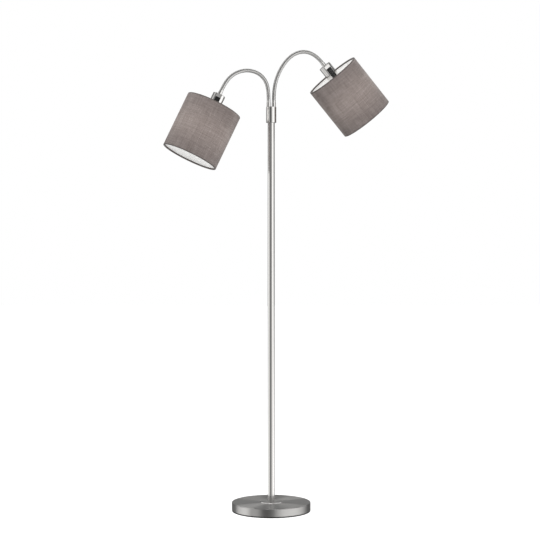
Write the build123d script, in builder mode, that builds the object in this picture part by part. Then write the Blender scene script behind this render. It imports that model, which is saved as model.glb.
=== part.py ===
from build123d import *
import math
import os

os.makedirs("parts", exist_ok=True)

# Twin gooseneck floor lamp.  Millimetres, +Z up.  The origin is the centre of the
# underside of the base pad, on the floor.  The front of the lamp faces -Y.

# ---- base -----------------------------------------------------------------
BASE_R = 125.0          # outer radius of the metal cover
BASE_TOP = 28.0         # top face of the cover
PAD_R, PAD_T = 124.2, 4.0
COVER_WALL, COVER_TOP_T = 1.2, 1.5
BOSS_R, BOSS_RISE = 34.0, 1.2      # low raised centre round the pole
WEIGHT_R = 123.3
POCKET_R = 21.0         # pocket under the weight for nut, washer and lead
POCKET_TOP = 22.0
LEAD_Z = 9.5            # height of the lead in the base channel
LEAD_R = 2.5
LEAD_BEND = 8.0         # bend of the lead from the channel into the threaded rod
CHANNEL_W = 9.0

# ---- pole -----------------------------------------------------------------
POLE_R, POLE_WALL = 11.0, 1.0
POLE_FOOT = BASE_TOP + BOSS_RISE
POLE_TOP = 1234.0
POLE_PARTS = 3
ROD_R, ROD_BORE = 5.0, 3.5         # threaded hollow rod
THREAD_GAP = 0.05

# ---- hub ------------------------------------------------------------------
HUB_R, HUB_WALL, HUB_TOP_T = 16.0, 1.5, 2.5
HUB_BOTTOM, HUB_TOP = 1230.0, 1280.0
ARM_OFFSET = 8.5        # each arm stands this far from the lamp axis

# ---- flexible arms --------------------------------------------------------
ARM_PLANE = 14.8        # degrees that the plane of both arms is turned about Z
SOCKET_R, SOCKET_TOP = 6.5, 1298.0
ARM_R, ARM_BORE = 6.0, 2.5
BALL_R, CUP_BALL_R = 5.85, 6.15    # ball end of a link and the hollow that takes it
LINKS = 6
ARM_TURNS = {           # turn of each of the twelve arcs of an arm, degrees
    "left": (2.6, 8.4, 15.6, 20.9, 19.8, 16.8, 14.6, 14.5, 14.9, 13.5, 9.1, 3.3),
    "right": (3.2, 6.3, 7.8, 7.6, 7.3, 8.6, 12.2, 16.9, 20.9, 21.9, 17.0, 9.7),
}
ARM_LENGTH = {"left": 249.4, "right": 276.6}
FERRULE_R, FERRULE_L = 6.5, 12.0

# ---- lampholder cup and its switch ----------------------------------------
CUP_R, CUP_L, CUP_WALL, CUP_TOP_T = 20.0, 62.0, 1.2, 2.0
CUP_ABOVE = 38.5        # cup top to the plane of the shade's top rim
FLAT_X = 17.8           # flat strip down the side of the cup, from its axis
FLAT_TURN = {"left": 10.0, "right": -2.0}   # the strip's turn from the arm plane's normal
BEZEL_W, BEZEL_L, BEZEL_T = 16.5, 38.0, 1.2
BEZEL_START = 11.5      # cup top to bezel
SWITCH_W, SWITCH_L, SWITCH_D = 13.8, 34.0, 12.0
WINDOW_W, WINDOW_L = 11.4, 30.9
ROCKER_W, ROCKER_TILT = 11.0, 6.0
PIVOT_X = 16.3          # rocker pivot from the cup axis
PIN_R, PIN_GAP = 1.0, 0.06

# ---- lampholder, bulb, shade ----------------------------------------------
HOLDER_START, HOLDER_END, HOLDER_R = 50.5, 88.0, 13.4     # from the cup top
HOLDER_FLANGE_R = 18.4
BULB_CAP_R, BULB_R, BULB_LEN = 6.85, 22.5, 78.0
GLASS_T = 1.2
SHADE_R, SHADE_H = 90.0, 180.0
FABRIC_T, LINER_T, SKIN_GAP = 0.6, 1.0, 0.1
RIM_W = 3.8             # fabric turned in over each rim
WIRE_R = 1.2
SPIDER_DEPTH = 24.4     # spider ring below the top rim
SPIDER_RING_R = 23.0


def keep(piece, name):
    """Label a finished piece and write it."""
    piece.label = name
    export_step(piece, f"parts/{name}.step")


lamp_axis = Axis.Z

# ======================= base ==============================================
with BuildPart() as base_pad:
    with BuildSketch(Plane.XY):
        Circle(PAD_R)
    extrude(amount=PAD_T)
    fillet(base_pad.edges().group_by(Axis.Z)[0], 0.8)
keep(base_pad.part, "base_pad")

with BuildPart() as base_weight:
    with BuildSketch(Plane.XY.offset(PAD_T)):
        Circle(WEIGHT_R)
    extrude(amount=BASE_TOP - COVER_TOP_T - 0.1 - PAD_T)
    # pocket for nut, washer and the turn of the lead
    with BuildSketch(Plane.XY.offset(PAD_T)):
        Circle(POCKET_R)
    extrude(amount=POCKET_TOP - PAD_T, mode=Mode.SUBTRACT)
    # channel from the rear gland to the pocket
    with BuildSketch(Plane.XY.offset(PAD_T)):
        with Locations((0, WEIGHT_R / 2 + 10)):
            Rectangle(CHANNEL_W, WEIGHT_R + 20)
        with Locations((0, WEIGHT_R)):
            Rectangle(16, 24)
    extrude(amount=LEAD_Z + 6 - PAD_T, mode=Mode.SUBTRACT)
    # hole for the threaded rod
    with BuildSketch(Plane.XY.offset(PAD_T)):
        Circle(ROD_R + 0.25)
    extrude(amount=40, mode=Mode.SUBTRACT)
keep(base_weight.part, "base_weight")

with BuildPart() as base_cover:
    with BuildSketch(Plane.XZ):
        with BuildLine():
            Polyline(
                (ROD_R + 0.25, BASE_TOP - COVER_TOP_T),
                (BASE_R - COVER_WALL, BASE_TOP - COVER_TOP_T),
                (BASE_R - COVER_WALL, PAD_T),
                (BASE_R, PAD_T),
                (BASE_R, BASE_TOP - 1.6),
                (BASE_R - 0.35, BASE_TOP - 0.75),
                (BASE_R - 0.95, BASE_TOP - 0.2),
                (BASE_R - 1.8, BASE_TOP),
                (BOSS_R + 1.6, BASE_TOP),
                (BOSS_R, BASE_TOP + BOSS_RISE),
                (ROD_R + 0.25, BASE_TOP + BOSS_RISE),
                close=True,
            )
        make_face()
    revolve(axis=lamp_axis)
    # hole in the rear wall for the gland
    with BuildSketch(Plane(origin=(0, BASE_R - 10, LEAD_Z), x_dir=(1, 0, 0), z_dir=(0, 1, 0))):
        Circle(4.2)
    extrude(amount=20, mode=Mode.SUBTRACT)
keep(base_cover.part, "base_cover")

with BuildPart() as base_rod:
    with BuildSketch(Plane.XY.offset(LEAD_Z + 5.0)):
        Circle(ROD_R)
        Circle(ROD_BORE, mode=Mode.SUBTRACT)
    extrude(amount=POLE_FOOT + 18 - LEAD_Z - 5.0)
    chamfer(base_rod.edges().group_by(Axis.Z)[-1].sort_by(SortBy.LENGTH)[-1], 0.5)
keep(base_rod.part, "base_rod")

with BuildPart() as base_nut:
    with BuildSketch(Plane.XY.offset(LEAD_Z + 5.6)):
        RegularPolygon(radius=17 / math.sqrt(3), side_count=6)
        Circle(ROD_R + THREAD_GAP, mode=Mode.SUBTRACT)
    extrude(amount=POCKET_TOP - 1.5 - LEAD_Z - 5.6)
keep(base_nut.part, "base_nut")

with BuildPart() as base_washer:
    with BuildSketch(Plane.XY.offset(POCKET_TOP - 1.5)):
        Circle(15.0)
        Circle(ROD_R + 0.2, mode=Mode.SUBTRACT)
    extrude(amount=1.5)
keep(base_washer.part, "base_washer")

# cable gland: a bush through the rear wall, with an outer and an inner lip
with BuildPart() as cable_gland:
    with BuildSketch(Plane(origin=(0, 0, LEAD_Z), x_dir=(0, 0, 1), z_dir=(-1, 0, 0))):
        # local x is up from the bore axis, local y is along +Y
        with BuildLine():
            Polyline(
                (2.7, BASE_R - 5.0),
                (4.9, BASE_R - 3.6),
                (4.9, BASE_R - 1.5),
                (4.05, BASE_R - 1.5),
                (4.05, BASE_R + 0.1),
                (5.4, BASE_R + 0.1),
                (5.4, BASE_R + 1.3),
                (4.4, BASE_R + 2.2),
                (2.7, BASE_R + 2.2),
                close=True,
            )
        make_face()
    revolve(axis=Axis((0, 0, LEAD_Z), (0, 1, 0)))
keep(cable_gland.part, "cable_gland")

# ======================= pole ==============================================
step = (POLE_TOP - POLE_FOOT) / POLE_PARTS
joints_z = [POLE_FOOT + i * step for i in range(POLE_PARTS + 1)]
for name, z0, z1 in zip(("pole_lower", "pole_middle", "pole_upper"), joints_z, joints_z[1:]):
    with BuildPart() as pole_part:
        with BuildSketch(Plane.XY.offset(z0)):
            Circle(POLE_R)
            Circle(POLE_R - POLE_WALL, mode=Mode.SUBTRACT)
        extrude(amount=z1 - z0)
    keep(pole_part.part, name)

# threaded spigots that join the three lengths
with BuildPart() as pole_couplers:
    for z in joints_z[1:-1]:
        with BuildSketch(Plane.XY.offset(z - 22)):
            Circle(POLE_R - POLE_WALL - THREAD_GAP)
            Circle(5.5, mode=Mode.SUBTRACT)
        extrude(amount=44)
keep(pole_couplers.part, "pole_couplers")

with BuildPart() as pole_foot_plug:
    with BuildSketch(Plane.XY.offset(POLE_FOOT)):
        Circle(POLE_R - POLE_WALL - THREAD_GAP)
        Circle(ROD_R + THREAD_GAP, mode=Mode.SUBTRACT)
    extrude(amount=20)
keep(pole_foot_plug.part, "pole_foot_plug")

with BuildPart() as pole_top_plug:
    with BuildSketch(Plane.XY.offset(POLE_TOP - 20)):
        Circle(POLE_R - POLE_WALL - THREAD_GAP)
        Circle(ROD_R + THREAD_GAP, mode=Mode.SUBTRACT)
    extrude(amount=20)
keep(pole_top_plug.part, "pole_top_plug")

# ======================= hub ===============================================
phi = math.radians(ARM_PLANE)
ARM_DIR = {
    "left": Vector(-math.cos(phi), -math.sin(phi), 0),
    "right": Vector(math.cos(phi), math.sin(phi), 0),
}
arm_spots = [ARM_DIR[side] * ARM_OFFSET for side in ("left", "right")]

with BuildPart() as hub_cup:
    with BuildSketch(Plane.XY.offset(HUB_BOTTOM)):
        Circle(HUB_R)
    extrude(amount=HUB_TOP - HUB_BOTTOM)
    fillet(hub_cup.edges().group_by(Axis.Z)[-1], 1.0)
    chamfer(hub_cup.edges().group_by(Axis.Z)[0], 0.4)
    with BuildSketch(Plane.XY.offset(HUB_BOTTOM)):
        Circle(HUB_R - HUB_WALL)
    extrude(amount=HUB_TOP - HUB_TOP_T - HUB_BOTTOM, mode=Mode.SUBTRACT)
    with BuildSketch(Plane.XY.offset(HUB_TOP - HUB_TOP_T)):
        with Locations([(v.X, v.Y) for v in arm_spots]):
            Circle(4.1)
    extrude(amount=HUB_TOP_T, mode=Mode.SUBTRACT)
keep(hub_cup.part, "hub_cup")

with BuildPart() as hub_base:
    with BuildSketch(Plane.XY.offset(HUB_BOTTOM + 0.4)):
        Circle(HUB_R - HUB_WALL - THREAD_GAP)
    extrude(amount=10)
    with BuildSketch(Plane.XY.offset(HUB_BOTTOM + 0.4)):
        Circle(POLE_R + 0.1)
    extrude(amount=POLE_TOP - HUB_BOTTOM - 0.4, mode=Mode.SUBTRACT)
    with BuildSketch(Plane.XY.offset(HUB_BOTTOM + 0.4)):
        Circle(ROD_R + THREAD_GAP)
    extrude(amount=20, mode=Mode.SUBTRACT)
keep(hub_base.part, "hub_base")

with BuildPart() as hub_rod:
    with BuildSketch(Plane.XY.offset(POLE_TOP - 16)):
        Circle(ROD_R)
        Circle(ROD_BORE, mode=Mode.SUBTRACT)
    extrude(amount=26)
keep(hub_rod.part, "hub_rod")

# ring nuts that hold the two arm sockets under the hub's top
with BuildPart() as hub_nuts:
    with BuildSketch(Plane.XY.offset(HUB_TOP - HUB_TOP_T - 4.5)):
        with Locations([(v.X, v.Y) for v in arm_spots]):
            Circle(5.8)
            Circle(4.05, mode=Mode.SUBTRACT)
    extrude(amount=4.5)
keep(hub_nuts.part, "hub_nuts")

# two sockets on the hub, one for each arm, each with a ball top
with BuildPart() as arm_sockets:
    for v in arm_spots:
        with BuildSketch(Plane(origin=(v.X, v.Y, 0), x_dir=(1, 0, 0), z_dir=(0, -1, 0))):
            with BuildLine():
                Polyline(
                    (0, HUB_TOP - 13),
                    (4.0, HUB_TOP - 13),
                    (4.0, HUB_TOP),
                    (SOCKET_R, HUB_TOP),
                    (SOCKET_R, SOCKET_TOP - 3.6),
                    (SOCKET_R - 0.5, SOCKET_TOP - 3.1),
                    (BALL_R, SOCKET_TOP - 3.1),
                    (BALL_R, SOCKET_TOP),
                )
                CenterArc((0, SOCKET_TOP), BALL_R, 0, 90)
                Line((0, SOCKET_TOP + BALL_R), (0, HUB_TOP - 13))
            make_face()
        revolve(axis=Axis((v.X, v.Y, 0), (0, 0, 1)))
    with BuildSketch(Plane.XY.offset(HUB_TOP - 14)):
        with Locations([(v.X, v.Y) for v in arm_spots]):
            Circle(ARM_BORE)
    extrude(amount=50, mode=Mode.SUBTRACT)
keep(arm_sockets.part, "arm_sockets")

# terminal block in the hub, where the lead meets the wires of both heads
with BuildPart() as terminal_block:
    with BuildSketch(Plane.XY.offset(HUB_BOTTOM + 17)):
        Rectangle(18, 9)
    extrude(amount=16)
    fillet(terminal_block.edges().filter_by(Axis.Z), 1.5)
    with BuildSketch(Plane.XY.offset(HUB_BOTTOM + 17)):
        with Locations((-4.5, 0), (4.5, 0)):
            Circle(1.6)
    extrude(amount=16, mode=Mode.SUBTRACT)
keep(terminal_block.part, "terminal_block")

# lead held inside the base, the pole and the hub
with BuildPart() as mains_lead:
    with BuildLine(Plane.YZ) as lead_route:
        # local x is +Y, local y is +Z
        Line((BASE_R - 5.5, LEAD_Z), (LEAD_BEND, LEAD_Z))
        CenterArc((LEAD_BEND, LEAD_Z + LEAD_BEND), LEAD_BEND, 270, -90)
        Line((0, LEAD_Z + LEAD_BEND), (0, HUB_BOTTOM + 16.5))
    with BuildSketch(Plane(origin=(0, BASE_R - 5.5, LEAD_Z), x_dir=(1, 0, 0), z_dir=(0, -1, 0))):
        Circle(LEAD_R)
    sweep(path=lead_route.wires()[0])
keep(mains_lead.part, "mains_lead")


# ======================= arms and heads ====================================
def chain(side):
    """Points and headings of an arm in its own plane: x away from the lamp
    axis, y up.  A heading is the angle from straight up, outwards."""
    r, z, h = ARM_OFFSET, SOCKET_TOP, 0.0
    piece = ARM_LENGTH[side] / len(ARM_TURNS[side])
    rows = [(r, z, h)]
    for turn in ARM_TURNS[side]:
        a = math.radians(turn)
        radius = piece / a
        r += radius * (math.cos(h) - math.cos(h + a))
        z += radius * (math.sin(h + a) - math.sin(h))
        h += a
        rows.append((r, z, h))
    return rows, piece


for side in ("left", "right"):
    out = ARM_DIR[side]
    up = Vector(0, 0, 1)
    arm_plane = Plane(origin=(0, 0, 0), x_dir=out, z_dir=out.cross(up))
    rows, piece = chain(side)

    def place(r, z):
        return out * r + up * z

    # ---- links of the flexible arm ----
    for k in range(LINKS):
        (r0, z0, h0), (r1, z1, h1), (r2, z2, h2) = rows[2 * k : 2 * k + 3]
        near, far = place(r0, z0), place(r2, z2)
        t_near = out * math.sin(h0) + up * math.cos(h0)
        t_far = out * math.sin(h2) + up * math.cos(h2)
        with BuildPart() as neck_link:
            with BuildLine(arm_plane) as link_route:
                JernArc((r0, z0), (math.sin(h0), math.cos(h0)), piece / (h1 - h0), -math.degrees(h1 - h0))
                JernArc((r1, z1), (math.sin(h1), math.cos(h1)), piece / (h2 - h1), -math.degrees(h2 - h1))
            route_wire = link_route.wires()[0]
            with BuildSketch(Plane(origin=near, x_dir=arm_plane.z_dir, z_dir=t_near)):
                Circle(ARM_R)
            sweep(path=route_wire)
            # ball that the next piece turns on
            with Locations(far):
                Sphere(BALL_R)
            # hollow for the ball before it
            with Locations(near):
                Sphere(CUP_BALL_R, mode=Mode.SUBTRACT)
            # wire bore, right through both ends
            with BuildSketch(Plane(origin=near, x_dir=arm_plane.z_dir, z_dir=t_near)):
                Circle(ARM_BORE)
            sweep(path=route_wire, mode=Mode.SUBTRACT)
            with BuildSketch(Plane(origin=far, x_dir=arm_plane.z_dir, z_dir=t_far)):
                Circle(ARM_BORE)
            extrude(amount=BALL_R + 1, mode=Mode.SUBTRACT)
        keep(neck_link.part, f"{side}_neck_link_{k + 1}")

    # ---- frame of the head ----
    r_end, z_end, h_end = rows[-1]
    down = out * math.sin(h_end) + up * math.cos(h_end)        # head axis, towards the bulb
    arm_end = place(r_end, z_end)
    cup_top = arm_end + down * FERRULE_L
    rim = cup_top + down * CUP_ABOVE                           # centre of the shade's top rim
    toward = Vector(math.sin(phi), -math.cos(phi), 0)          # arm plane normal, to the front
    inner = out * -math.cos(h_end) + up * math.sin(h_end)
    turn = math.radians(FLAT_TURN[side])
    flat_dir = toward * math.cos(turn) + inner * math.sin(turn)
    across = down.cross(flat_dir)
    head = Plane(origin=cup_top, x_dir=flat_dir, z_dir=down)   # local z runs down from the cup top
    head_axis = Axis(cup_top, down)
    # radial plane: local x away from the head axis, local y down from the cup top
    radial = Plane(origin=cup_top, x_dir=flat_dir, z_dir=flat_dir.cross(down))
    shade = Plane(origin=rim, x_dir=flat_dir, z_dir=flat_dir.cross(down))

    with BuildPart() as end_ferrule:
        with BuildSketch(radial):
            with BuildLine():
                Polyline(
                    (ARM_BORE, 1.7 - FERRULE_L),
                    (FERRULE_R - 0.4, 1.7 - FERRULE_L),
                    (FERRULE_R, 2.1 - FERRULE_L),
                    (FERRULE_R, 0),
                    (4.0, 0),
                    (4.0, 11.0),
                    (ARM_BORE, 11.0),
                    close=True,
                )
            make_face()
        revolve(axis=head_axis)
        with Locations(arm_end):
            Sphere(CUP_BALL_R, mode=Mode.SUBTRACT)
    keep(end_ferrule.part, f"{side}_end_ferrule")

    with BuildPart() as cup_nut:
        with BuildSketch(head.offset(CUP_TOP_T)):
            RegularPolygon(radius=12 / math.sqrt(3), side_count=6)
            Circle(4.05, mode=Mode.SUBTRACT)
        extrude(amount=4)
    keep(cup_nut.part, f"{side}_cup_nut")

    # lampholder cup: round tube with a closed top and a flat strip down one side
    with BuildPart() as cup:
        with BuildSketch(head):
            Circle(CUP_R)
            with Locations((FLAT_X + 5, 0)):
                Rectangle(10, 60, mode=Mode.SUBTRACT)
        extrude(amount=CUP_L)
        fillet(cup.edges().filter_by(lambda e: abs(e.length - CUP_L) < 0.01), 0.8)
        top_face = cup.faces().sort_by(head_axis)[0]
        fillet(top_face.edges(), 1.6)
        with BuildSketch(head.offset(CUP_TOP_T)):
            Circle(CUP_R - CUP_WALL)
            with Locations((FLAT_X - CUP_WALL + 5, 0)):
                Rectangle(10, 60, mode=Mode.SUBTRACT)
        extrude(amount=CUP_L, mode=Mode.SUBTRACT)
        with BuildSketch(head):
            Circle(4.1)
        extrude(amount=CUP_TOP_T, mode=Mode.SUBTRACT)
        # window in the strip for the switch
        with BuildSketch(Plane(origin=cup_top + down * (BEZEL_START + BEZEL_L / 2),
                               x_dir=down, z_dir=flat_dir)):
            Rectangle(SWITCH_L + 0.3, SWITCH_W + 0.3)
        extrude(amount=CUP_R + 2, mode=Mode.SUBTRACT)
    keep(cup.part, f"{side}_cup")

    # ---- rocker switch ----
    switch_mid = cup_top + down * (BEZEL_START + BEZEL_L / 2)
    face = Plane(origin=switch_mid + flat_dir * FLAT_X, x_dir=down, z_dir=flat_dir)
    pivot = switch_mid + flat_dir * PIVOT_X
    with BuildPart() as switch_body:
        with BuildSketch(face.offset(0.05)):
            RectangleRounded(BEZEL_L, BEZEL_W, 1.5)
        extrude(amount=BEZEL_T)
        fillet(switch_body.faces().sort_by(Axis(switch_mid, flat_dir))[-1].edges(), 0.5)
        with BuildSketch(face.offset(-SWITCH_D)):
            Rectangle(SWITCH_L, SWITCH_W)
        extrude(amount=SWITCH_D + 0.1)
        with BuildSketch(face.offset(-SWITCH_D + 4.2)):
            RectangleRounded(WINDOW_L, WINDOW_W, 0.3)
        extrude(amount=SWITCH_D, mode=Mode.SUBTRACT)
        # bearing holes for the rocker's pins
        with BuildSketch(Plane(origin=pivot, x_dir=down, z_dir=across)):
            Circle(PIN_R + PIN_GAP)
        extrude(amount=WINDOW_W / 2 + 0.85, both=True, mode=Mode.SUBTRACT)
    keep(switch_body.part, f"{side}_switch_body")

    # at rest the rocker's lower half is pressed in
    tilt = math.radians(-ROCKER_TILT)
    rock = Plane(origin=pivot, x_dir=down * math.cos(tilt) + flat_dir * math.sin(tilt), z_dir=across)
    with BuildPart() as rocker:
        with BuildSketch(rock):
            Circle(15.2)
            with BuildLine():
                Polyline((-20, -2.6), (20, -2.6), (20, 4.96), (14.6, 4.4), (0, 2.9), (-14.6, 4.4), (-20, 4.96), close=True)
            make_face(mode=Mode.INTERSECT)
        extrude(amount=ROCKER_W / 2, both=True)
        with BuildSketch(rock):
            Circle(PIN_R)
        extrude(amount=WINDOW_W / 2 + 0.7, both=True)
    keep(rocker.part, f"{side}_rocker")

    # ---- lampholder and shade ring ----
    with BuildPart() as lampholder:
        with BuildSketch(head.offset(HOLDER_START)):
            Circle(HOLDER_R)
        extrude(amount=HOLDER_END - HOLDER_START)
        with BuildSketch(head.offset(CUP_L - 4)):
            Circle(HOLDER_FLANGE_R)
            with Locations((FLAT_X - CUP_WALL - 0.25 + 5, 0)):
                Rectangle(10, 60, mode=Mode.SUBTRACT)
        extrude(amount=4)
        with BuildSketch(head.offset(HOLDER_END - 27.5)):
            Circle(BULB_CAP_R + 0.2)
        extrude(amount=30, mode=Mode.SUBTRACT)
        # relieved mouth
        with BuildSketch(head.offset(HOLDER_END - 3)):
            Circle(HOLDER_R - 2.2)
        extrude(amount=5, mode=Mode.SUBTRACT)
    keep(lampholder.part, f"{side}_lampholder")

    with BuildPart() as shade_ring:
        with BuildSketch(head.offset(CUP_L + 1.8)):
            Circle(19.5)
            Circle(HOLDER_R + THREAD_GAP, mode=Mode.SUBTRACT)
            with PolarLocations(19.9, 18):
                Circle(1.0, mode=Mode.SUBTRACT)
        extrude(amount=7)
    keep(shade_ring.part, f"{side}_shade_ring")

    # ---- bulb ----
    cap_start = HOLDER_END - 25.7
    with BuildPart() as bulb_cap:
        with BuildSketch(radial):
            with BuildLine():
                Polyline(
                    (0, cap_start),
                    (3.0, cap_start),
                    (3.0, cap_start + 2.0),
                    (BULB_CAP_R - 0.6, cap_start + 4.0),
                    (BULB_CAP_R, cap_start + 5.0),
                    (BULB_CAP_R, cap_start + 26.0),
                    (0, cap_start + 26.0),
                    close=True,
                )
            make_face()
        revolve(axis=head_axis)
    keep(bulb_cap.part, f"{side}_bulb_cap")

    globe_end = cap_start + BULB_LEN
    globe_mid = globe_end - BULB_R
    neck_z = cap_start + 26.0
    with BuildPart() as bulb_globe:
        with BuildSketch(radial):
            with BuildLine():
                p0 = (7.6, neck_z)
                p1 = (BULB_R * math.sin(math.radians(118)), globe_mid + BULB_R * math.cos(math.radians(118)))
                Line((0, neck_z), p0)
                TangentArc([p0, p1], tangent=(math.cos(math.radians(28)), -math.sin(math.radians(28))), tangent_from_first=False)
                ThreePointArc(p1, (BULB_R, globe_mid), (0, globe_end))
                Line((0, globe_end), (0, neck_z))
            make_face()
        revolve(axis=head_axis)
        # hollow inside, open towards the cap
        in_globe = BULB_R - GLASS_T
        with BuildSketch(radial):
            with BuildLine():
                q0 = (7.6 - GLASS_T, neck_z - 0.01)
                q1 = (in_globe * math.sin(math.radians(118)), globe_mid + in_globe * math.cos(math.radians(118)))
                Line((0, neck_z - 0.01), q0)
                TangentArc([q0, q1], tangent=(math.cos(math.radians(28)), -math.sin(math.radians(28))), tangent_from_first=False)
                ThreePointArc(q1, (in_globe, globe_mid), (0, globe_end - GLASS_T))
                Line((0, globe_end - GLASS_T), (0, neck_z - 0.01))
            make_face()
        revolve(axis=head_axis, mode=Mode.SUBTRACT)
    keep(bulb_globe.part, f"{side}_bulb_globe")

    # ---- shade: spider, wires, liner and fabric ----
    in_r = SHADE_R - FABRIC_T - SKIN_GAP - LINER_T        # inside of the liner
    wire_mid = in_r - 0.1 - WIRE_R
    top_wire = FABRIC_T + 0.1 + WIRE_R
    rear = flat_dir * -1
    with BuildPart() as spider:
        with BuildSketch(Plane(origin=rim, x_dir=rear, z_dir=down).offset(SPIDER_DEPTH - 0.6)):
            Circle(SPIDER_RING_R)
            Circle(HOLDER_R + 0.6, mode=Mode.SUBTRACT)
        extrude(amount=1.2)
        # wire round the top rim
        with BuildSketch(Plane(origin=rim, x_dir=rear, z_dir=rear.cross(down))):
            with Locations((wire_mid, top_wire)):
                Circle(WIRE_R)
        revolve(axis=head_axis)
        # three arms, out from the ring and up to the wire
        for i in range(3):
            a = math.radians(120 * i)
            ray = flat_dir * math.cos(a) + across * math.sin(a)
            arm_side = Plane(origin=rim, x_dir=ray, z_dir=ray.cross(down))
            with BuildLine(arm_side) as spoke:
                FilletPolyline((20.5, SPIDER_DEPTH), (wire_mid, SPIDER_DEPTH), (wire_mid, top_wire), radius=9)
            with BuildSketch(Plane(origin=rim + ray * 20.5 + down * SPIDER_DEPTH, x_dir=down, z_dir=ray)):
                Circle(WIRE_R - 0.15)
            sweep(path=spoke.wires()[0])
    keep(spider.part, f"{side}_shade_spider")

    with BuildPart() as rim_wire:
        with BuildSketch(shade):
            with Locations((wire_mid, SHADE_H - top_wire)):
                Circle(WIRE_R)
        revolve(axis=head_axis)
    keep(rim_wire.part, f"{side}_bottom_wire")

    with BuildPart() as liner:
        with BuildSketch(shade):
            with Locations((in_r + LINER_T / 2, SHADE_H / 2)):
                Rectangle(LINER_T, SHADE_H - 2 * (FABRIC_T + SKIN_GAP))
        revolve(axis=head_axis)
    keep(liner.part, f"{side}_shade_liner")

    with BuildPart() as fabric:
        with BuildSketch(shade):
            with Locations((SHADE_R - FABRIC_T / 2, SHADE_H / 2)):
                Rectangle(FABRIC_T, SHADE_H)
            with Locations((SHADE_R - RIM_W / 2, FABRIC_T / 2), (SHADE_R - RIM_W / 2, SHADE_H - FABRIC_T / 2)):
                Rectangle(RIM_W, FABRIC_T)
        revolve(axis=head_axis)
    keep(fabric.part, f"{side}_shade_fabric")
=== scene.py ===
import bpy
import bmesh
import math
from mathutils import Vector, Matrix


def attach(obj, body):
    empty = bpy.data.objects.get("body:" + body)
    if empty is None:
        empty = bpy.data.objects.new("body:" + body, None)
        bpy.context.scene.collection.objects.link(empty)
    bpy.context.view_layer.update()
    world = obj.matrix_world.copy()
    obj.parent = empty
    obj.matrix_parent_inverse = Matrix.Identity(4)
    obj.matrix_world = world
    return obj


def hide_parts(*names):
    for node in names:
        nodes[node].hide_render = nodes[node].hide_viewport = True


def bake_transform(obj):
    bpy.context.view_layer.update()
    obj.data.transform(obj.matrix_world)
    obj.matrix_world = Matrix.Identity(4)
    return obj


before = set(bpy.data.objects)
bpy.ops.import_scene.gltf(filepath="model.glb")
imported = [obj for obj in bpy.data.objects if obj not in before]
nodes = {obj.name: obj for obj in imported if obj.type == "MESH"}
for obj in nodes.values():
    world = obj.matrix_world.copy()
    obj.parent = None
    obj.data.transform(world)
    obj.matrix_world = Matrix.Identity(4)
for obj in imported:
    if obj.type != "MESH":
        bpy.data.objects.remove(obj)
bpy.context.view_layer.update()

scene = bpy.context.scene
scene.view_settings.view_transform = "Standard"
scene.view_settings.look = "None"

# ============================ camera =======================================
cam_data = bpy.data.cameras.new("camera")
cam = bpy.data.objects.new("camera", cam_data)
scene.collection.objects.link(cam)
cam_data.sensor_width = 36.0
cam_data.lens = 92.33
cam_data.clip_end = 60.0
cam.location = (-0.0038, -4.385, 0.854)
aim = Vector((-0.0038, 0.0, 0.7646))
cam.rotation_euler = (aim - cam.location).to_track_quat("-Z", "Y").to_euler()
scene.camera = cam


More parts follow.
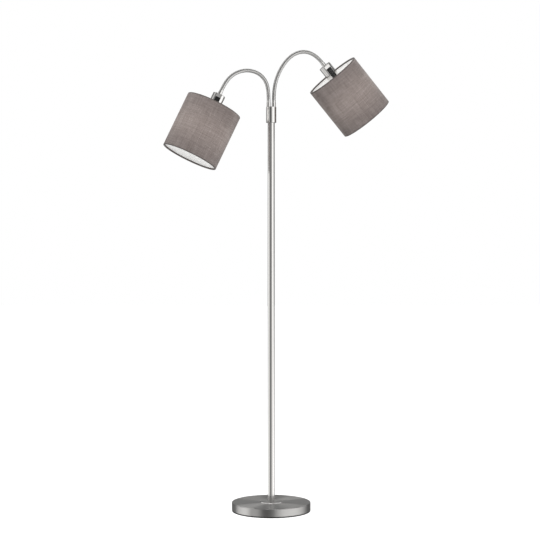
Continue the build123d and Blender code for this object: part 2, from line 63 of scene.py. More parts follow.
# ============================ node helpers =================================
class Mat:
    """A material and short calls for its nodes."""

    def __init__(self, name):
        self.mat = bpy.data.materials.new(name)
        self.mat.use_nodes = True
        self.t = self.mat.node_tree
        self.t.nodes.clear()
        self.out = self.t.nodes.new("ShaderNodeOutputMaterial")
        self.bsdf = self.t.nodes.new("ShaderNodeBsdfPrincipled")
        self.t.links.new(self.bsdf.outputs[0], self.out.inputs["Surface"])

    def set(self, **values):
        for key, value in values.items():
            self.bsdf.inputs[key.replace("_", " ")].default_value = value
        return self

    def node(self, kind, **props):
        n = self.t.nodes.new(kind)
        for key, value in props.items():
            setattr(n, key, value)
        return n

    def link(self, a, b):
        self.t.links.new(a, b)

    def math(self, op, a, b=None, c=None, clamp=False):
        n = self.node("ShaderNodeMath", operation=op, use_clamp=clamp)
        for i, v in enumerate((a, b, c)):
            if v is None:
                continue
            if isinstance(v, (int, float)):
                n.inputs[i].default_value = v
            else:
                self.link(v, n.inputs[i])
        return n.outputs[0]

    def noise(self, vec, scale, detail=3.0, rough=0.55, w=None, dims="3D"):
        n = self.node("ShaderNodeTexNoise", noise_dimensions=dims)
        n.inputs["Scale"].default_value = scale
        n.inputs["Detail"].default_value = detail
        n.inputs["Roughness"].default_value = rough
        if vec is not None:
            self.link(vec, n.inputs["Vector"])
        return n.outputs["Fac"]

    def coords(self, scale=(1, 1, 1), source="Object", rotation=(0, 0, 0)):
        tc = self.node("ShaderNodeTexCoord")
        mp = self.node("ShaderNodeMapping")
        mp.inputs["Scale"].default_value = scale
        mp.inputs["Rotation"].default_value = rotation
        self.link(tc.outputs[source], mp.inputs["Vector"])
        return mp.outputs[0]

    def attr(self, name):
        n = self.node("ShaderNodeAttribute", attribute_type="GEOMETRY", attribute_name=name)
        return n.outputs["Vector"]

    def ramp(self, fac, stops, interp="LINEAR"):
        n = self.node("ShaderNodeValToRGB")
        n.color_ramp.interpolation = interp
        els = n.color_ramp.elements
        while len(els) < len(stops):
            els.new(0.5)
        for e, (p, c) in zip(els, stops):
            e.position = p
            e.color = (*c, 1.0) if len(c) == 3 else c
        self.link(fac, n.inputs["Fac"])
        return n.outputs["Color"]

    def remap(self, fac, lo, hi, a=0.0, b=1.0):
        n = self.node("ShaderNodeMapRange")
        self.link(fac, n.inputs["Value"])
        n.inputs["From Min"].default_value = a
        n.inputs["From Max"].default_value = b
        n.inputs["To Min"].default_value = lo
        n.inputs["To Max"].default_value = hi
        return n.outputs["Result"]

    def mix(self, fac, a, b, blend="MIX"):
        n = self.node("ShaderNodeMix", data_type="RGBA", blend_type=blend)
        for i, v in ((0, fac), (6, a), (7, b)):
            if isinstance(v, (int, float)):
                n.inputs[i].default_value = v
            elif isinstance(v, tuple):
                n.inputs[i].default_value = (*v, 1.0)
            else:
                self.link(v, n.inputs[i])
        return n.outputs[2]

    def bump(self, height, strength, distance, normal=None):
        n = self.node("ShaderNodeBump")
        n.inputs["Strength"].default_value = strength
        n.inputs["Distance"].default_value = distance
        self.link(height, n.inputs["Height"])
        if normal is not None:
            self.link(normal, n.inputs["Normal"])
        return n.outputs["Normal"]

    def to(self, socket, value):
        self.link(value, self.bsdf.inputs[socket])
        return self


def grey(v, warm=0.0):
    return (v * (1 + warm), v, v * (1 - warm))


# ============================ materials ====================================
# satin nickel of the pole: fine lengthwise brushing, faint handling marks
def nickel(name, tone=0.66, rough=0.17, grain=(900, 900, 14), bump=0.05, axis_space=None):
    m = Mat(name)
    m.set(Metallic=1.0)
    vec = m.coords(grain) if axis_space is None else axis_space(m, grain)
    fine = m.noise(vec, 1.0, 4.0, 0.6)
    wide = m.noise(m.coords((7, 7, 3)), 1.0, 3.0, 0.55)
    m.to("Base Color", m.mix(wide, grey(tone * 0.96, 0.012), grey(tone * 1.04, 0.02)))
    r = m.math("ADD", m.remap(fine, rough - 0.03, rough + 0.05), m.remap(wide, -0.02, 0.03))
    m.to("Roughness", r)
    m.to("Normal", m.bump(fine, bump, 0.0004))
    return m.mat


pole_mat = nickel("satin_nickel_pole", 0.70, 0.13, (1400, 1400, 20), 0.04)
hub_mat = nickel("satin_nickel_hub", 0.68, 0.12, (1400, 1400, 24), 0.03)
cup_mat = nickel("satin_nickel_cup", 0.70, 0.14, (500, 500, 500), 0.02)

# spiral tube of the arms: the grooves are in the mesh, this adds wire polish and painted shade that darkens the grooves
neck = Mat("ribbed_nickel")
neck.set(Metallic=1.0)
n_uv = neck.attr("coil")                       # x: turns along the tube, y: turn about it, z: height in the groove
n_sep = neck.node("ShaderNodeSeparateXYZ")
neck.link(n_uv, n_sep.inputs[0])
# painted shade: base colour goes dark grey down in the coil's grooves, where shade falls
groove_shade = neck.math("SUBTRACT", 1.0, n_sep.outputs["Z"])
n_fine = neck.noise(neck.coords((420, 420, 420)), 1.0, 3.0, 0.6)
neck.to("Base Color", neck.mix(neck.math("MULTIPLY", groove_shade, 0.85), grey(0.74, 0.012), grey(0.17, 0.02)))
neck.to("Roughness", neck.math("ADD", neck.remap(n_fine, 0.10, 0.18), neck.math("MULTIPLY", groove_shade, 0.25)))
neck.to("Normal", neck.bump(n_fine, 0.06, 0.0003))
neck_mat = neck.mat


# circular brushed steel of the base: rings of fine scratches round the lamp axis
def brushed_disc():
    m = Mat("brushed_steel_base")
    m.set(Metallic=1.0, Anisotropic=1.0, Anisotropic_Rotation=0.25)
    tan = m.node("ShaderNodeTangent", direction_type="RADIAL", axis="Z")
    m.link(tan.outputs[0], m.bsdf.inputs["Tangent"])
    tc = m.node("ShaderNodeTexCoord")
    sep = m.node("ShaderNodeSeparateXYZ")
    m.link(tc.outputs["Object"], sep.inputs[0])
    x, y, z = sep.outputs
    rad = m.math("SQRT", m.math("ADD", m.math("MULTIPLY", x, x), m.math("MULTIPLY", y, y)))
    ang = m.math("ARCTAN2", y, x)
    ring = m.node("ShaderNodeCombineXYZ")
    m.link(m.math("MULTIPLY", rad, 2600.0), ring.inputs[0])
    m.link(m.math("MULTIPLY", m.math("SINE", ang), 5.0), ring.inputs[1])
    m.link(m.math("ADD", m.math("MULTIPLY", m.math("COSINE", ang), 5.0), m.math("MULTIPLY", z, 2600.0)), ring.inputs[2])
    fine = m.noise(ring.outputs[0], 1.0, 4.0, 0.65)
    ring2 = m.node("ShaderNodeCombineXYZ")
    m.link(m.math("MULTIPLY", rad, 260.0), ring2.inputs[0])
    m.link(m.math("MULTIPLY", m.math("SINE", ang), 0.8), ring2.inputs[1])
    m.link(m.math("ADD", m.math("MULTIPLY", m.math("COSINE", ang), 0.8), m.math("MULTIPLY", z, 500.0)), ring2.inputs[2])
    wide = m.noise(ring2.outputs[0], 1.0, 3.0, 0.6)
    m.to("Base Color", m.mix(m.math("ADD", m.math("MULTIPLY", fine, 0.6), m.math("MULTIPLY", wide, 0.4)), grey(0.40, 0.01), grey(0.62, 0.02)))
    rough = m.math("ADD", m.remap(fine, 0.28, 0.36), m.remap(wide, -0.02, 0.02))
    # the small bevel round the raised centre is polished
    bevel = m.math("LESS_THAN", m.math("ABSOLUTE", m.math("SUBTRACT", rad, 0.0348)), 0.0010)
    rough = m.math("MULTIPLY", rough, m.remap(bevel, 1.0, 0.25))
    m.to("Roughness", rough)
    m.to("Normal", m.bump(fine, 0.06, 0.0003))
    return m.mat


base_mat = brushed_disc()


SHEET_MID = 0.0985        # half the cloth's developed width


def linen():
    """Plain weave of uneven yarns. The attribute 'cloth' runs in metres: x round the shade, y down it."""
    m = Mat("grey_linen")
    uv = m.attr("cloth")
    sep = m.node("ShaderNodeSeparateXYZ")
    m.link(uv, sep.inputs[0])
    x, y, fold = sep.outputs
    pitch = 0.00062
    # yarns wander a little
    wob_vec = m.node("ShaderNodeVectorMath", operation="MULTIPLY")
    m.link(uv, wob_vec.inputs[0])
    wob_vec.inputs[1].default_value = (90, 90, 0)
    wob = m.noise(wob_vec.outputs[0], 1.0, 2.0, 0.5)
    xs = m.math("ADD", m.math("DIVIDE", x, pitch), m.math("MULTIPLY", wob, 1.6))
    ys = m.math("ADD", m.math("DIVIDE", y, pitch), m.math("MULTIPLY", wob, 1.6))
    sx = m.math("SINE", m.math("MULTIPLY", xs, math.pi))
    sy = m.math("SINE", m.math("MULTIPLY", ys, math.pi))
    over = m.math("MULTIPLY", sx, sy)                       # checker of over and under
    warp_h = m.math("ABSOLUTE", m.math("COSINE", m.math("MULTIPLY", xs, math.pi)))
    weft_h = m.math("ABSOLUTE", m.math("COSINE", m.math("MULTIPLY", ys, math.pi)))
    height = m.math("ADD", m.math("MULTIPLY", warp_h, 0.5), m.math("MULTIPLY", weft_h, 0.5))
    height = m.math("ADD", height, m.math("MULTIPLY", over, 0.3))

    # slubs: long streaks round the shade, shorter ones down it
    def streak(sx_, sy_, detail, seed):
        v = m.node("ShaderNodeVectorMath", operation="MULTIPLY_ADD")
        m.link(uv, v.inputs[0])
        v.inputs[1].default_value = (sx_, sy_, 0)
        v.inputs[2].default_value = (seed, seed * 1.7, seed * 0.6)
        return m.noise(v.outputs[0], 1.0, detail, 0.6)

    round_it = streak(34, 1250, 2.0, 3.1)
    round_fine = streak(95, 1900, 2.0, 8.2)
    round_wide = streak(15, 330, 3.0, 2.3)
    down_it = streak(1250, 30, 2.0, 5.7)
    down_fine = streak(1900, 85, 2.0, 9.4)
    down_wide = streak(300, 13, 3.0, 6.6)
    bands = streak(30, 3.0, 2.0, 4.8)
    cloud = streak(14, 12, 3.0, 1.3)

    def part(value, weight):
        return m.math("MULTIPLY", m.math("SUBTRACT", value, 0.5), weight)

    tone = m.math("ADD", part(round_it, 0.80), part(down_it, 0.55))
    for value, weight in ((round_fine, 0.55), (down_fine, 0.45), (round_wide, 0.62), (down_wide, 0.50), (bands, 0.50), (cloud, 0.35)):
        tone = m.math("ADD", tone, part(value, weight))
    tone = m.math("ADD", tone, 0.5, clamp=True)
    base = m.ramp(tone, [(0.0, (0.140, 0.112, 0.104)), (0.30, (0.245, 0.203, 0.190)), (0.6, (0.358, 0.307, 0.290)), (1.0, (0.58, 0.51, 0.485))])
    # painted light: cloth lighter and warmer half way down and darker toward both rims, standing in for light coming
    # through the cloth from inside
    painted_glow_band = m.math("DIVIDE", m.math("SUBTRACT", y, SHEET_MID), 0.062)
    painted_glow_band = m.math("POWER", 2.718, m.math("MULTIPLY", m.math("MULTIPLY", painted_glow_band, painted_glow_band), -1.0))
    base = m.mix(painted_glow_band, m.mix(0.30, base, (0.06, 0.054, 0.055)), m.mix(0.10, base, (0.62, 0.50, 0.43)))
    # painted shade: gaps between yarns are darker
    yarn_gap_shade = m.math("MULTIPLY", m.math("SUBTRACT", 1.0, m.math("MULTIPLY", height, 1.0, clamp=True)), 0.5, clamp=True)
    base = m.mix(yarn_gap_shade, base, (0.075, 0.063, 0.06))
    # painted shade: the fold over each rim is darkened, standing in for the shadow of the rolled edge
    base = m.mix(m.math("MULTIPLY", fold, 0.62), base, (0.055, 0.050, 0.047))
    m.to("Base Color", base)
    m.set(Roughness=0.86, Sheen_Weight=0.16, Sheen_Roughness=0.45, Specular_IOR_Level=0.22)
    relief = m.math("ADD", m.math("MULTIPLY", height, 0.5), m.math("MULTIPLY", tone, 0.6))
    m.to("Normal", m.bump(relief, 0.55, 0.00035))
    return m.mat


linen_mat = linen()


def film():
    """Matt white film inside a shade, very slightly mottled, with a painted glow."""
    m = Mat("white_film")
    wide = m.noise(m.coords((18, 18, 18)), 1.0, 3.0, 0.5)
    fine = m.noise(m.coords((60, 60, 60)), 1.0, 2.0, 0.5)
    m.to("Base Color", m.mix(wide, (0.74, 0.74, 0.735), (0.77, 0.77, 0.765)))
    m.to("Roughness", m.remap(fine, 0.50, 0.62))
    # painted light: the film glows, standing in for daylight through cloth and film, most near the upper rim. Attribute
    # 'film': y runs down the shade, 0 to 1
    m.set(Emission_Strength=1.0)
    down = m.node("ShaderNodeSeparateXYZ")
    m.link(m.attr("film"), down.inputs[0])
    m.to("Emission Color", m.mix(down.outputs["Y"], (0.46, 0.455, 0.446), (0.205, 0.202, 0.198)))
    return m.mat


film_mat = film()


def plastic(name, colour, rough, grain=700, bump=0.05, spread=0.06, coat=0.0):
    m = Mat(name)
    fine = m.noise(m.coords((grain, grain, grain)), 1.0, 3.0, 0.55)
    wide = m.noise(m.coords((35, 35, 35)), 1.0, 3.0, 0.55)
    dark = tuple(c * (1 - spread) for c in colour)
    lite = tuple(min(1.0, c * (1 + spread)) for c in colour)
    m.to("Base Color", m.mix(wide, dark, lite))
    m.to("Roughness", m.math("ADD", m.remap(fine, rough - 0.05, rough + 0.05), m.remap(wide, -0.03, 0.03)))
    m.to("Normal", m.bump(fine, bump, 0.0003))
    if coat:
        m.set(Coat_Weight=coat, Coat_Roughness=0.12)
    return m.mat


black_mat = plastic("black_plastic", (0.006, 0.006, 0.0065), 0.34)
rocker_mat = plastic("black_rocker", (0.011, 0.011, 0.0115), 0.24, 500, 0.03)
white_plastic_mat = plastic("white_plastic", (0.84, 0.84, 0.82), 0.36, 600, 0.04, 0.02)
white_wire_mat = plastic("white_powder_coat", (0.87, 0.87, 0.86), 0.42, 1600, 0.16, 0.02)
sheath_mat = plastic("lead_sheath", (0.03, 0.03, 0.032), 0.45)
pad_mat = plastic("black_pad", (0.006, 0.006, 0.006), 0.90, 420, 0.35, 0.2)


def steel():
    m = Mat("zinc_steel")
    m.set(Metallic=1.0)
    wide = m.noise(m.coords((160, 160, 160)), 1.0, 4.0, 0.6)
    fine = m.noise(m.coords((1500, 1500, 120)), 1.0, 3.0, 0.6)
    m.to("Base Color", m.mix(wide, (0.44, 0.45, 0.45), (0.62, 0.61, 0.57)))
    m.to("Roughness", m.math("ADD", m.remap(fine, 0.26, 0.38), m.remap(wide, -0.05, 0.06)))
    m.to("Normal", m.bump(fine, 0.12, 0.0003))
    return m.mat


steel_mat = steel()


def iron():
    m = Mat("cast_iron")
    wide = m.noise(m.coords((60, 60, 60)), 1.0, 5.0, 0.6)
    fine = m.noise(m.coords((520, 520, 520)), 1.0, 4.0, 0.65)
    m.set(Metallic=0.55)
    m.to("Base Color", m.mix(wide, (0.07, 0.068, 0.066), (0.16, 0.15, 0.145)))
    m.to("Roughness", m.remap(fine, 0.55, 0.8))
    m.to("Normal", m.bump(fine, 0.5, 0.001))
    return m.mat


iron_mat = iron()


def opal():
    m = Mat("opal_glass")
    wide = m.noise(m.coords((40, 40, 40)), 1.0, 2.0, 0.5)
    m.to("Base Color", m.mix(wide, (0.90, 0.90, 0.88), (0.94, 0.94, 0.93)))
    m.to("Roughness", m.remap(wide, 0.10, 0.16))
    m.set(Transmission_Weight=0.15, IOR=1.5, Coat_Weight=0.3, Coat_Roughness=0.05)
    return m.mat


opal_mat = opal()


def shell_alu():
    m = Mat("bulb_shell")
    m.set(Metallic=1.0)
    fine = m.noise(m.coords((900, 900, 900)), 1.0, 3.0, 0.6)
    m.to("Base Color", m.mix(fine, (0.70, 0.69, 0.66), (0.80, 0.79, 0.77)))
    m.to("Roughness", m.remap(fine, 0.2, 0.34))
    m.to("Normal", m.bump(fine, 0.08, 0.0003))
    return m.mat


shell_mat = shell_alu()


def paint(node, mat):
    o = nodes[node]
    if o.data.materials:
        for i in range(len(o.data.materials)):
            o.data.materials[i] = mat
    else:
        o.data.materials.append(mat)


for n, mat in {
    "base_pad": pad_mat, "base_weight": iron_mat, "base_cover": base_mat, "cable_gland": black_mat,
    "base_rod": steel_mat, "base_nut": steel_mat, "base_washer": steel_mat, "pole_foot_plug": steel_mat,
    "pole_top_plug": steel_mat, "pole_couplers": steel_mat, "hub_base": steel_mat, "hub_rod": steel_mat,
    "hub_nuts": steel_mat, "pole_lower": pole_mat, "pole_middle": pole_mat, "pole_upper": pole_mat,
    "hub_cup": hub_mat, "arm_sockets": hub_mat, "terminal_block": white_plastic_mat, "mains_lead": sheath_mat,
}.items():
    paint(n, mat)
for s in ("left", "right"):
    for n, mat in {
        "end_ferrule": hub_mat, "cup_nut": steel_mat, "cup": cup_mat, "switch_body": black_mat, "rocker": rocker_mat,
        "lampholder": white_plastic_mat, "shade_ring": white_plastic_mat, "bulb_cap": shell_mat, "bulb_globe": opal_mat,
        "shade_spider": white_wire_mat, "bottom_wire": white_wire_mat,
    }.items():
        paint(f"{s}_{n}", mat)


# ============================ mesh helpers =================================
def mesh_object(name, verts, faces, mat, smooth=True, attrs=None):
    me = bpy.data.meshes.new(name)
    me.from_pydata([tuple(v) for v in verts], [], faces)
    me.validate()
    me.update()
    if smooth:
        me.polygons.foreach_set("use_smooth", [True] * len(me.polygons))
    me.materials.append(mat)
    for key, values in (attrs or {}).items():
        a = me.attributes.new(key, "FLOAT_VECTOR", "POINT")
        a.data.foreach_set("vector", [c for v in values for c in v])
    o = bpy.data.objects.new(name, me)
    scene.collection.objects.link(o)
    return o


def grid_faces(rows, cols, close_cols=True, close_rows=False):
    """Quads over a grid of rows x cols points, row by row."""
    out = []
    for i in range(rows - (0 if close_rows else 1)):
        for j in range(cols - (0 if close_cols else 1)):
            a, b = i * cols + j, i * cols + (j + 1) % cols
            c, d = ((i + 1) % rows) * cols + (j + 1) % cols, ((i + 1) % rows) * cols + j
            out.append((a, b, c, d))
    return out


# ============================ frame of each side ===========================
PHI = math.radians(14.8)
SOCKET_Z = 1.298
TURNS = {
    "left": (2.6, 8.4, 15.6, 20.9, 19.8, 16.8, 14.6, 14.5, 14.9, 13.5, 9.1, 3.3),
    "right": (3.2, 6.3, 7.8, 7.6, 7.3, 8.6, 12.2, 16.9, 20.9, 21.9, 17.0, 9.7),
}
LENGTH = {"left": 0.2494, "right": 0.2766}
FLAT_TURN = {"left": 10.0, "right": -2.0}
UP = Vector((0, 0, 1))
TOWARD = Vector((math.sin(PHI), -math.cos(PHI), 0))


class Side:
    def __init__(self, side):
        self.side = side
        self.out = Vector((math.cos(PHI), math.sin(PHI), 0)) * (1 if side == "right" else -1)
        self.turns = [math.radians(t) for t in TURNS[side]]
        self.length = LENGTH[side]
        self.arc = self.length / 12
        r, z, h = 0.0085, SOCKET_Z, 0.0
        self.rows = [(r, z, h)]
        for a in self.turns:
            radius = self.arc / a
            r += radius * (math.cos(h) - math.cos(h + a))
            z += radius * (math.sin(h + a) - math.sin(h))
            h += a
            self.rows.append((r, z, h))
        r, z, h = self.rows[-1]
        self.down = self.out * math.sin(h) + UP * math.cos(h)
        self.end = self.out * r + UP * z
        self.cup_top = self.end + self.down * 0.012
        self.rim = self.cup_top + self.down * 0.0385
        inner = self.out * -math.cos(h) + UP * math.sin(h)
        t = math.radians(FLAT_TURN[side])
        self.flat = TOWARD * math.cos(t) + inner * math.sin(t)
        self.across = self.down.cross(self.flat)

    def point(self, s):
        """Point and direction of the arm's centreline at length s from its socket."""
        if s <= 0:
            return self.out * 0.0085 + UP * (SOCKET_Z + s), UP.copy()
        if s >= self.length:
            return self.end + self.down * (s - self.length), self.down.copy()
        k = min(int(s / self.arc), 11)
        r, z, h = self.rows[k]
        a = self.turns[k] * (s - k * self.arc) / self.arc
        radius = self.arc / self.turns[k]
        r2 = r + radius * (math.cos(h) - math.cos(h + a))
        z2 = z + radius * (math.sin(h + a) - math.sin(h))
        h2 = h + a
        return self.out * r2 + UP * z2, self.out * math.sin(h2) + UP * math.cos(h2)


sides = {s: Side(s) for s in ("left", "right")}


# ============================ flexible arms ================================
# A round wire wound with a narrow one between its turns: a wide rounded rib and a
# narrow inset strip in each pitch, running as one helix from socket to ferrule.
COIL_PITCH = 0.0036
COIL_R = 0.00597
RINGS = 10                # rows of points in one pitch
AROUND = 28


def coil_profile(u):
    """Depth below the outer radius, and how open that spot is, at share u of one pitch."""
    u = u % 1.0
    if u < 0.74:
        v = (u / 0.74) * 2 - 1
        depth = 0.00042 * (1 - math.sqrt(max(0.0, 1 - (abs(v) * 0.97) ** 2.6)))
        return depth, 1.0 - 0.9 * max(0.0, abs(v) - 0.72) / 0.28
    v = abs((u - 0.74) / 0.26 * 2 - 1)
    return 0.00050 + 0.00014 * v, 0.30 - 0.25 * v


def arm_piece(side, k, s0, s1, b0, b1, covers):
    S = sides[side]
    n = max(8, int(round((s1 - s0) / COIL_PITCH * RINGS)))
    ref = TOWARD
    verts, coil = [], []
    for i in range(n + 1):
        s = s0 + (s1 - s0) * i / n
        p, t = S.point(s)
        side_dir = t.cross(ref).normalized()
        # both ends are soldered smooth for a few millimetres
        plain = min(1.0, max(0.0, (min(s, S.length - s) - 0.0024) / 0.0016))
        for j in range(AROUND):
            a = 2 * math.pi * j / AROUND
            depth, open_ = coil_profile(s / COIL_PITCH - j / AROUND)
            depth = 0.00009 + (depth - 0.00009) * plain if plain < 1.0 else depth
            open_ = 1.0 + (open_ - 1.0) * plain
            q = p + (ref * math.cos(a) + side_dir * math.sin(a)) * (COIL_R - depth)
            verts.append(q)
            coil.append((s / COIL_PITCH, j / AROUND, open_))
    o = mesh_object(f"{side}_arm_coil_{k}", verts, grid_faces(n + 1, AROUND), neck_mat, attrs={"coil": coil})
    pa, _ = S.point(b0)
    pb, _ = S.point(b1)
    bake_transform(o)
    if covers:
        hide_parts(*covers)
    return o


for side, S in sides.items():
    link = 2 * S.arc
    inset = 0.0015
    for k in range(7):
        s0 = -0.0028 if k == 0 else (k - 0.5) * link
        s1 = S.length + 0.0030 if k == 6 else (k + 0.5) * link
        b0 = 0.0 if k == 0 else s0 + inset
        b1 = S.length if k == 6 else s1 - inset
        covers = [f"{side}_neck_link_{k}"] if k else []
        arm_piece(side, k + 1, s0, s1, b0, b1, covers)


# ============================ shades =======================================
SHADE_R, SHADE_H, CLOTH_T = 0.090, 0.180, 0.0006
FOLD_W = 0.0038


def ring_points(centre, ex, ey, ez, r, z, a):
    return centre + (ex * math.cos(a) + ey * math.sin(a)) * r + ez * z


def shade_cloth(side):
    """One strip of cloth round the shade, turned in over both rims; its ends overlap at the back."""
    S = sides[side]
    ex, ez = -S.flat, S.down
    ey = ez.cross(ex)
    lap = 0.008 / SHADE_R
    total = 2 * math.pi + lap
    cols = 241
    # section: outside face from the fold at one rim to the fold at the other, then back inside
    c = 0.0012                                      # rounding of the rim
    hem_r = 0.0850                                  # the hem wraps the rim wire and ends inside
    outer = [(hem_r, 0.0046, 1.0), (hem_r, 0.0029, 1.0)]
    for i in range(6):
        q = math.pi / 2 * i / 5
        outer.append((hem_r + c - c * math.cos(q), c - c * math.sin(q), 1.0))
    for i in range(6):
        q = math.pi / 2 * i / 5
        outer.append((SHADE_R - c + c * math.sin(q), c - c * math.cos(q), 1.0))
    outer.append((SHADE_R, 0.0022, 0.85))
    outer.append((SHADE_R, 0.0034, 0.25))
    outer.append((SHADE_R, 0.0046, 0.0))
    half_row = len(outer)
    for i in range(1, 24):
        outer.append((SHADE_R, 0.0046 + (SHADE_H - 0.0092) * i / 24, 0.0))
    outer += [(r, SHADE_H - z, f) for r, z, f in reversed(outer[:half_row])]
    t = CLOTH_T
    # the wire side of the cloth, one thickness in from each point of the outside
    inner = []
    for i, (r, z, f) in enumerate(outer):
        r0, z0, _ = outer[max(i - 1, 0)]
        r1, z1, _ = outer[min(i + 1, len(outer) - 1)]
        dr, dz = r1 - r0, z1 - z0
        size = math.hypot(dr, dz)
        inner.append((r - dz / size * t, z + dr / size * t, f))
    inner.reverse()
    section = outer + inner
    # length along the outside of the cloth, for the weave
    run, lengths = 0.0, [0.0]
    for (r0, z0, _), (r1, z1, _) in zip(outer, outer[1:]):
        run += math.hypot(r1 - r0, z1 - z0)
        lengths.append(run)
    lengths += list(reversed(lengths))
    verts, cloth = [], []
    for i in range(cols):
        a = total * i / (cols - 1)
        lift = 0.0
        edge = a - 2 * math.pi
        if edge > -0.05:
            w = min(1.0, (edge + 0.05) / 0.05)
            lift = 0.00066 * w * w * (3 - 2 * w)
        for (r, z, f), l in zip(section, lengths):
            rim_lift = lift if f < 0.5 else lift * 0.6
            if r < 0.0870:
                rim_lift = -lift * 0.6
            verts.append(ring_points(S.rim, ex, ey, ez, r + rim_lift, z, a))
            cloth.append((a * SHADE_R, l, f))
    rows = len(section)
    faces = []
    for i in range(cols - 1):
        for j in range(rows):
            p, q = i * rows + j, i * rows + (j + 1) % rows
            faces.append((p, (i + 1) * rows + j, (i + 1) * rows + (j + 1) % rows, q))
    half = len(outer)
    # close both cut ends
    for i in (0, cols - 1):
        for j in range(half - 1):
            f = (i * rows + j, i * rows + j + 1, i * rows + rows - 2 - j, i * rows + rows - 1 - j)
            faces.append(f if i == 0 else tuple(reversed(f)))
    o = mesh_object(f"{side}_shade_cloth", verts, faces, linen_mat, attrs={"cloth": cloth})
    bm = bmesh.new()
    bm.from_mesh(o.data)
    bmesh.ops.recalc_face_normals(bm, faces=bm.faces)
    bm.to_mesh(o.data)
    bm.free()
    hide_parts(f"{side}_shade_fabric")
    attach(o, f"{side}_head")
    return o


def shade_film(side):
    """White film behind the cloth, a closed ring."""
    S = sides[side]
    ex, ez = -S.flat, S.down
    ey = ez.cross(ex)
    r_out, r_in = 0.0893, 0.0883
    z0, z1 = 0.0007, SHADE_H - 0.0007
    section = [(r_in, z0 + 0.0003), (r_in + 0.0003, z0), (r_out - 0.0003, z0), (r_out, z0 + 0.0003),
               (r_out, SHADE_H / 2), (r_out, z1 - 0.0003), (r_out - 0.0003, z1), (r_in + 0.0003, z1), (r_in, z1 - 0.0003),
               (r_in, SHADE_H / 2)]
    cols = 192
    verts, at = [], []
    for i in range(cols):
        a = 2 * math.pi * i / cols
        for r, z in section:
            verts.append(ring_points(S.rim, ex, ey, ez, r, z, a))
            at.append((a * r, z / SHADE_H, 0.0))
    o = mesh_object(f"{side}_shade_film", verts, grid_faces(cols, len(section), True, True), film_mat, attrs={"film": at})
    bm = bmesh.new()
    bm.from_mesh(o.data)
    bmesh.ops.recalc_face_normals(bm, faces=bm.faces)
    bm.to_mesh(o.data)
    bm.free()
    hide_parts(f"{side}_shade_liner")
    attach(o, f"{side}_head")
    return o


for side in sides:
    film_o = shade_film(side)
    cloth_o = shade_cloth(side)


# ============================ studio =======================================
floor_me = bpy.data.meshes.new("floor")
floor_me.from_pydata([(-14, -14, 0), (14, -14, 0), (14, 14, 0), (-14, 14, 0)], [], [(0, 1, 2, 3)])
floor_m = Mat("floor_paper")
f_noise = floor_m.noise(floor_m.coords((3, 3, 3)), 1.0, 2.0, 0.5)
floor_m.to("Base Color", floor_m.mix(f_noise, (0.60, 0.60, 0.60), (0.62, 0.62, 0.62)))
floor_m.set(Roughness=0.95, Specular_IOR_Level=0.0)
f_glow = floor_m.node("ShaderNodeEmission")
f_add = floor_m.node("ShaderNodeAddShader")
f_lp = floor_m.node("ShaderNodeLightPath")
floor_m.link(floor_m.remap(f_lp.outputs["Is Camera Ray"], 0.20, 0.80), f_glow.inputs["Strength"])
floor_m.link(floor_m.bsdf.outputs[0], f_add.inputs[0])
floor_m.link(f_glow.outputs[0], f_add.inputs[1])
floor_m.link(f_add.outputs[0], floor_m.out.inputs["Surface"])
floor_me.materials.append(floor_m.mat)
floor = bpy.data.objects.new("floor", floor_me)
scene.collection.objects.link(floor)
floor.visible_glossy = False

world = bpy.data.worlds.new("studio")
scene.world = world
world.use_nodes = True
wt = world.node_tree
wt.nodes.clear()
w_out = wt.nodes.new("ShaderNodeOutputWorld")
w_bg = wt.nodes.new("ShaderNodeBackground")
w_tc = wt.nodes.new("ShaderNodeTexCoord")
w_sep = wt.nodes.new("ShaderNodeSeparateXYZ")
wt.links.new(w_tc.outputs["Generated"], w_sep.inputs[0])
w_neg = wt.nodes.new("ShaderNodeMath"); w_neg.operation = "MULTIPLY"; w_neg.inputs[1].default_value = -1.0
wt.links.new(w_sep.outputs["Y"], w_neg.inputs[0])
w_at = wt.nodes.new("ShaderNodeMath"); w_at.operation = "ARCTAN2"
wt.links.new(w_sep.outputs["X"], w_at.inputs[0])
wt.links.new(w_neg.outputs[0], w_at.inputs[1])
w_map = wt.nodes.new("ShaderNodeMapRange")
w_map.inputs["From Min"].default_value = -math.pi
w_map.inputs["From Max"].default_value = math.pi
wt.links.new(w_at.outputs[0], w_map.inputs["Value"])
# light round the lamp, by compass direction: 0 is where the camera stands
LOW = [(-180, 0.24), (-128, 0.26), (-119, 0.66), (-112, 1.28), (-98, 1.45), (-86, 1.68), (-74, 1.36), (-66, 0.90), (-61, 0.50), (-40, 0.54), (-31, 0.34),
       (-26, 0.20), (-10, 0.20), (1, 0.28), (9, 0.45), (16, 0.80), (30, 0.86), (40, 1.08), (51, 0.98), (60, 1.30), (76, 1.85), (92, 1.50), (101, 1.36),
       (111, 0.88), (122, 0.42), (135, 0.20), (180, 0.24)]
MIDDLE = [(-180, 0.08), (-142, 0.09), (-127, 0.36), (-112, 1.15), (-96, 1.40), (-80, 1.30), (-70, 0.95), (-61, 0.42), (-40, 0.58), (-30, 0.34), (-22, 0.10), (-9, 0.09),
          (2, 0.24), (10, 0.42), (20, 0.85), (32, 1.35), (60, 1.50), (74, 1.10), (92, 0.60), (110, 0.44), (122, 0.22), (138, 0.08), (180, 0.08)]
GROUND = [(-180, 0.24), (-140, 0.30), (-110, 1.10), (-50, 1.15), (-35, 0.60), (-20, 0.22), (5, 0.30), (20, 0.90), (40, 1.50), (100, 1.50), (125, 0.60),
          (140, 0.25), (180, 0.24)]
RISING = [(-180, 0.36), (-166, 0.34), (-150, 0.08), (-106, 0.08), (-94, 0.80), (-80, 1.30), (-70, 0.95), (-61, 0.42), (-40, 0.58), (-30, 0.34), (-22, 0.10),
          (-9, 0.09), (2, 0.24), (10, 0.42), (20, 0.85), (32, 1.35), (56, 1.40), (70, 0.80), (90, 0.20), (112, 0.08), (148, 0.09), (166, 0.34), (180, 0.36)]
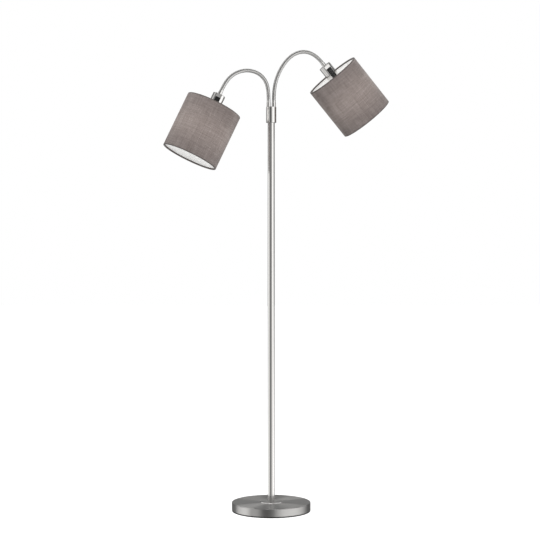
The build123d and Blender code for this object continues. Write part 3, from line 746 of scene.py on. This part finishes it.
UPPER = [(-180, 0.05), (-168, 0.10), (-156, 1.50), (-140, 1.70), (-127, 0.30), (-106, 0.25), (-94, 0.80), (-78, 0.80), (-62, 0.20), (0, 0.12), (60, 0.14),
         (94, 0.16), (128, 0.22), (140, 1.45), (156, 1.55), (166, 0.12), (180, 0.05)]
TOP = [(-180, 0.06), (-166, 0.12), (-148, 1.15), (-108, 1.30), (-92, 0.25), (0, 0.10), (92, 0.25), (108, 1.30), (148, 1.15), (166, 0.12), (180, 0.06)]


def compass(stops, name):
    n = wt.nodes.new("ShaderNodeValToRGB")
    n.label = name
    els = n.color_ramp.elements
    while len(els) < len(stops):
        els.new(0.5)
    for e, (deg, v) in zip(els, stops):
        e.position = (deg + 180) / 360
        e.color = (v, v, v * 0.99, 1.0)
    wt.links.new(w_map.outputs[0], n.inputs["Fac"])
    return n.outputs["Color"]


def layer(below, above, z0, z1):
    """Pass from one to the other between two heights on the unit sphere."""
    f = wt.nodes.new("ShaderNodeMapRange")
    f.interpolation_type = "SMOOTHSTEP"
    f.inputs["From Min"].default_value = z0
    f.inputs["From Max"].default_value = z1
    wt.links.new(w_sep.outputs["Z"], f.inputs["Value"])
    mix = wt.nodes.new("ShaderNodeMix")
    mix.data_type = "RGBA"
    wt.links.new(f.outputs[0], mix.inputs[0])
    for i, v in ((6, below), (7, above)):
        if isinstance(v, float):
            mix.inputs[i].default_value = (v, v, v, 1.0)
        else:
            wt.links.new(v, mix.inputs[i])
    return mix.outputs[2]


light = layer(0.25, compass(GROUND, "ground"), -0.86, -0.62)
light = layer(light, compass(LOW, "low"), -0.36, -0.24)
light = layer(light, compass(MIDDLE, "middle"), -0.17, 0.02)
light = layer(light, compass(RISING, "rising"), 0.10, 0.17)
light = layer(light, compass(UPPER, "upper"), 0.36, 0.56)
light = layer(light, compass(TOP, "top"), 0.72, 0.82)
light = layer(light, 2.0, 0.965, 0.985)
w_lp = wt.nodes.new("ShaderNodeLightPath")
w_cam = wt.nodes.new("ShaderNodeMix"); w_cam.data_type = "RGBA"
w_cam.inputs[7].default_value = (1.0, 1.0, 1.0, 1.0)
wt.links.new(w_lp.outputs["Is Camera Ray"], w_cam.inputs[0])
wt.links.new(light, w_cam.inputs[6])
wt.links.new(w_cam.outputs[2], w_bg.inputs["Color"])
wt.links.new(w_bg.outputs[0], w_out.inputs["Surface"])


def area(name, loc, target, size, power, glossy=False):
    d = bpy.data.lights.new(name, "AREA")
    d.shape = "RECTANGLE"
    d.size, d.size_y = size
    d.energy = power
    o = bpy.data.objects.new(name, d)
    o.location = loc
    o.rotation_euler = (Vector(target) - Vector(loc)).to_track_quat("-Z", "Y").to_euler()
    scene.collection.objects.link(o)
    o.visible_glossy = glossy
    return o


area("key", (2.2, -3.2, 1.35), (0.05, 0, 1.25), (1.6, 1.6), 52)
area("fill", (-2.2, -3.0, 1.35), (-0.05, 0, 1.2), (1.6, 1.6), 11)
area("top", (-0.7, -0.5, 3.3), (0.15, 0, 1.3), (1.4, 1.4), 30)
